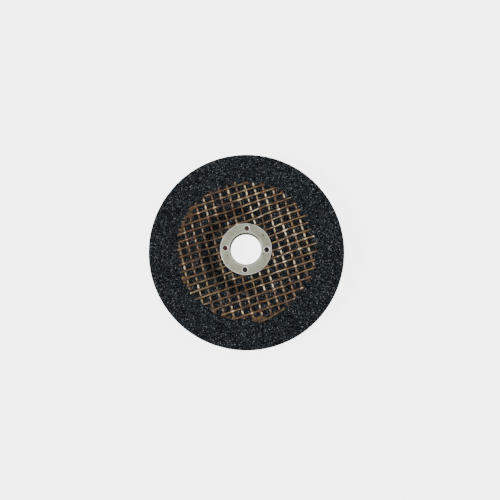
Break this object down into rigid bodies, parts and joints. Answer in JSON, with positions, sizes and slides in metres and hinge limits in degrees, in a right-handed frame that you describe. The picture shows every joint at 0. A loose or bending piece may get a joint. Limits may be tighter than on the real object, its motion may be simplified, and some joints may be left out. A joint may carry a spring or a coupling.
{
  "type": "grinding disc",
  "caption": "Depressed-centre grinding disc of dark resin-bonded abrasive with a woven glass-fibre net and a flanged steel bore ring.",
  "frame": {"origin": "on the bore axis, at the back face of the raised hub", "axes": "+Z along the bore axis, out of the recessed working face; +Y is up in the picture"},
  "size_m": [0.1, 0.1, 0.0105],
  "materials": {
    "abrasive": "coarse grit in dark resin, matt with sparkling grains",
    "glass_yarn": "resin-soaked glass yarn, satin",
    "steel": "satin pressed sheet, slightly pitted"
  },
  "bodies": {
    "root": {"abrasive_body": "abrasive", "weft_yarns": "glass_yarn", "warp_yarns": "glass_yarn", "bore_ring": "steel"}
  },
  "joints": []
}
